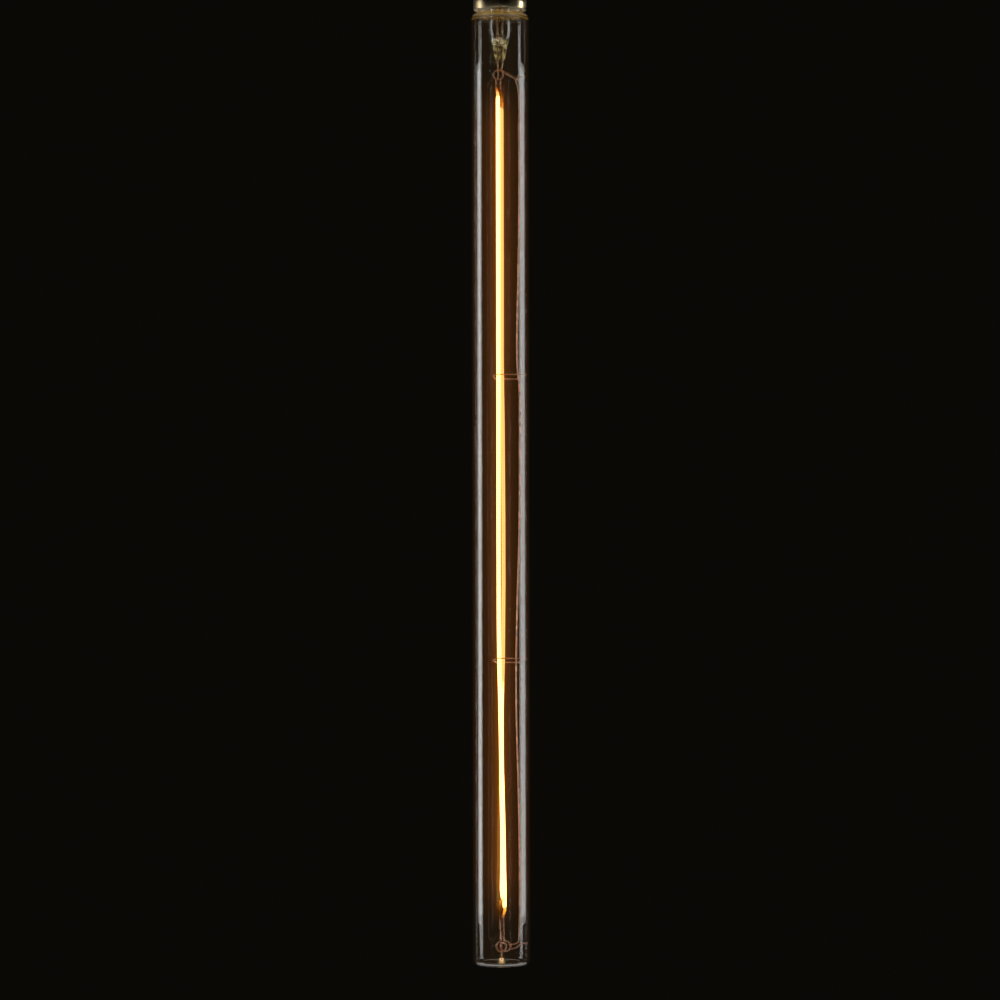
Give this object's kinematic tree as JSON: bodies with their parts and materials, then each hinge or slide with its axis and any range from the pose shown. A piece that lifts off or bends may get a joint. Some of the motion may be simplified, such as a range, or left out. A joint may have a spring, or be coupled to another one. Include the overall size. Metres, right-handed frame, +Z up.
{
  "type": "tubular light bulb",
  "caption": "Slim clear glass tube lamp with a screw cap; two thin glowing strips hang inside from a pressed glass stem, beside a stiff bare wire.",
  "frame": {"origin": "tip of the cap's centre contact, where it meets the lamp holder", "axes": "+Z up along the lamp's axis, out of the cap; the lamp hangs down along -Z; the camera looks along +Y, and +X is to its right"},
  "size_m": [0.028, 0.028, 0.5],
  "materials": {
    "clear_glass": "clear",
    "stem_glass": "clear",
    "frame_wire": "bright copper-nickel wire",
    "lead_wire": "bright",
    "light_strip": "soft amber coat",
    "strip_tab": "bright copper",
    "cap_metal": "satin",
    "cap_glass": "fused dark glass",
    "solder": "satin",
    "cement": "dry",
    "board": "satin lacquer",
    "block": "moulded",
    "capacitor": "sleeved",
    "fuse": "coated"
  },
  "bodies": {
    "root": {"glass_tube": "clear_glass", "glass_stem": "stem_glass", "exhaust_tube": "stem_glass", "lead_wire_hanger": "lead_wire", "lead_wire_return": "lead_wire", "spring_hanger": "frame_wire", "return_wire": "frame_wire", "strip_eye_upper": "frame_wire", "strip_eye_lower": "frame_wire", "foot_coil": "frame_wire", "foot_pin": "frame_wire", "foot_spacer": "frame_wire", "light_strip_front": "light_strip", "light_strip_back": "light_strip", "tab_front_upper": "strip_tab", "tab_back_upper": "strip_tab", "tab_front_lower": "strip_tab", "tab_back_lower": "strip_tab", "cap_shell": "cap_metal", "cap_insulator": "cap_glass", "centre_contact": "cap_metal", "contact_solder": "solder", "cap_cement": "cement", "driver_board": "board", "bridge_rectifier": "block", "driver_chip": "block", "smoothing_capacitor": "capacitor", "fuse_resistor": "fuse", "feed_wire": "lead_wire", "shell_wire": "lead_wire"}
  },
  "joints": []
}
